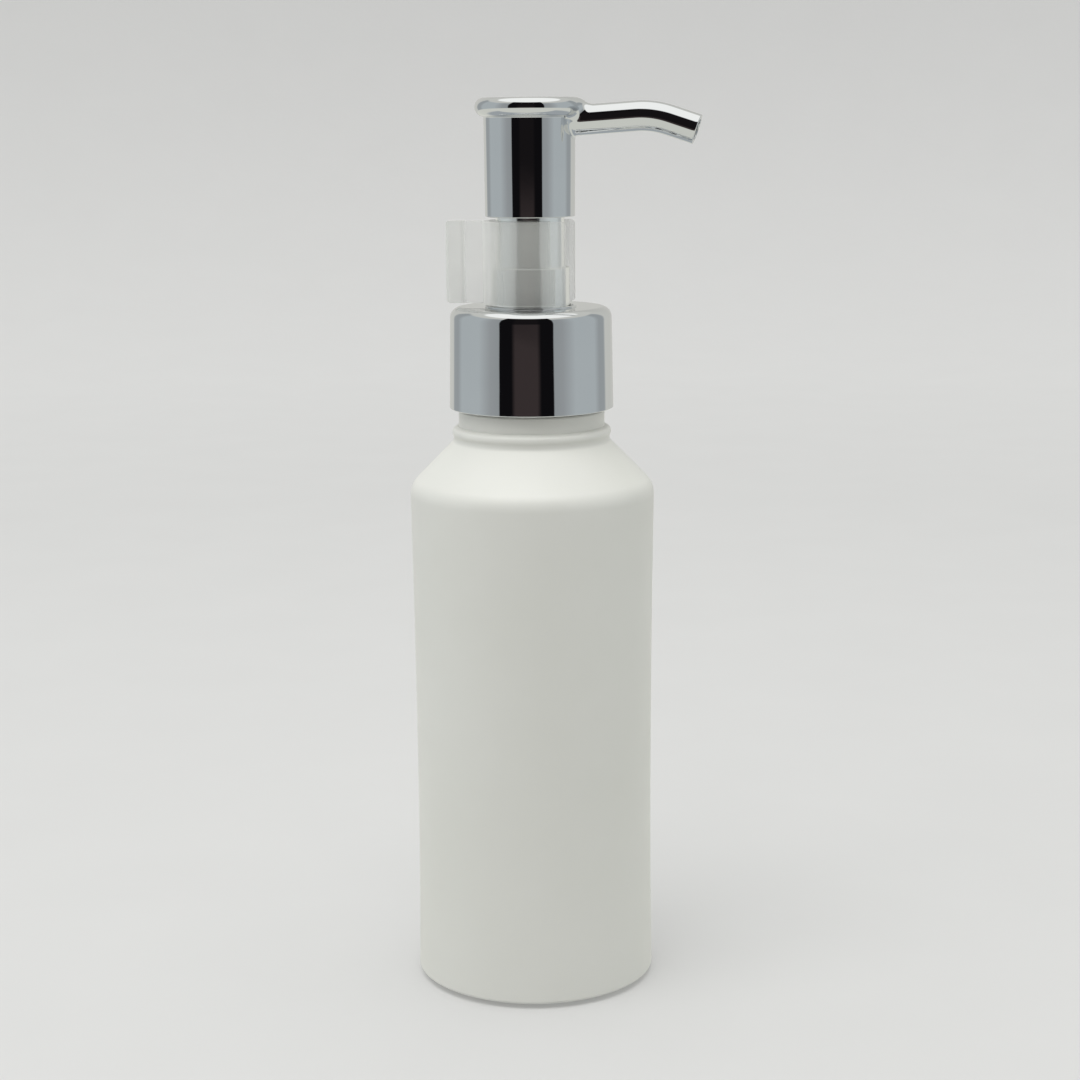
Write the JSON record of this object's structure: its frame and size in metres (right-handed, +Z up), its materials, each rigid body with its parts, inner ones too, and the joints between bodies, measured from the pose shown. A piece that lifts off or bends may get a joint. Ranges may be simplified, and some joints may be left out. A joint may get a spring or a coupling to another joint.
{
  "type": "pump oil bottle",
  "caption": "White round bottle with a silver long-nozzle press pump, threaded collar and milky snap-off lock clip, for massage oil or lotion.",
  "frame": {"origin": "centre of the bottle's flat base, in the plane it stands on", "axes": "+Z up along the bottle's axis, +X along the spout, so the lock clip's tab points to -X"},
  "size_m": [0.0507, 0.0426, 0.1552],
  "materials": {
    "bottle_hdpe": "satin white blow-moulded polyethylene",
    "white_pp": "semi-gloss white moulded polypropylene",
    "natural_pp": "natural translucent polypropylene",
    "natural_pe": "natural translucent polyethylene",
    "silver_plating": "polished bright silver plating on moulded plastic",
    "spring_steel": "drawn stainless wire",
    "ball_glass": "polished glass ball",
    "gasket_foam": "closed-cell polyethylene foam",
    "milky_pp": "milky translucent moulded polypropylene"
  },
  "bodies": {
    "bottle": {"bottle": "bottle_hdpe"},
    "pump": {"pump_housing": "natural_pp", "neck_gasket": "gasket_foam", "guide_chimney": "silver_plating", "dip_tube": "natural_pe", "return_spring": "spring_steel"},
    "closure": {"threaded_closure": "white_pp", "collar_shell": "silver_plating"},
    "plunger": {"stem": "white_pp", "piston_rod": "white_pp"},
    "head": {"head_core": "silver_plating", "head_shell": "silver_plating", "spout": "silver_plating"},
    "piston": {"piston": "natural_pe"},
    "ball": {"inlet_ball": "ball_glass"},
    "clip": {"lock_clip": "milky_pp"}
  },
  "joints": [
    {"name": "closure_rise", "type": "slide", "parent": "bottle", "child": "pump", "axis": [0, 0, 1], "range_m": [0, 0.00476]},
    {"name": "closure_spin", "type": "hinge", "parent": "pump", "child": "closure", "pos_m": [0, 0, 0.1149], "axis": [0, 0, 1], "range_deg": [0, 540]},
    {"name": "head_press", "type": "slide", "parent": "pump", "child": "plunger", "axis": [0, 0, -1], "range_m": [0, 0.0135], "stiffness_N_per_m": 700, "springref_m": -0.006, "deforming": ["return_spring"]},
    {"name": "head_swivel", "type": "hinge", "parent": "plunger", "child": "head", "pos_m": [0, 0, 0.141], "axis": [0, 0, 1], "continuous": true},
    {"name": "piston_slip", "type": "slide", "parent": "plunger", "child": "piston", "axis": [0, 0, 1], "range_m": [0, 0.0007]},
    {"name": "ball_lift", "type": "slide", "parent": "pump", "child": "ball", "axis": [0, 0, 1], "range_m": [0, 0.0018]},
    {"name": "clip_pull", "type": "slide", "parent": "pump", "child": "clip", "axis": [-1, 0, 0], "range_m": [0, 0.04], "deforming": ["lock_clip"]}
  ],
  "couplings": [
    {"joint": "closure_spin", "follows": "closure_rise", "rad_per_m": 1979}
  ]
}
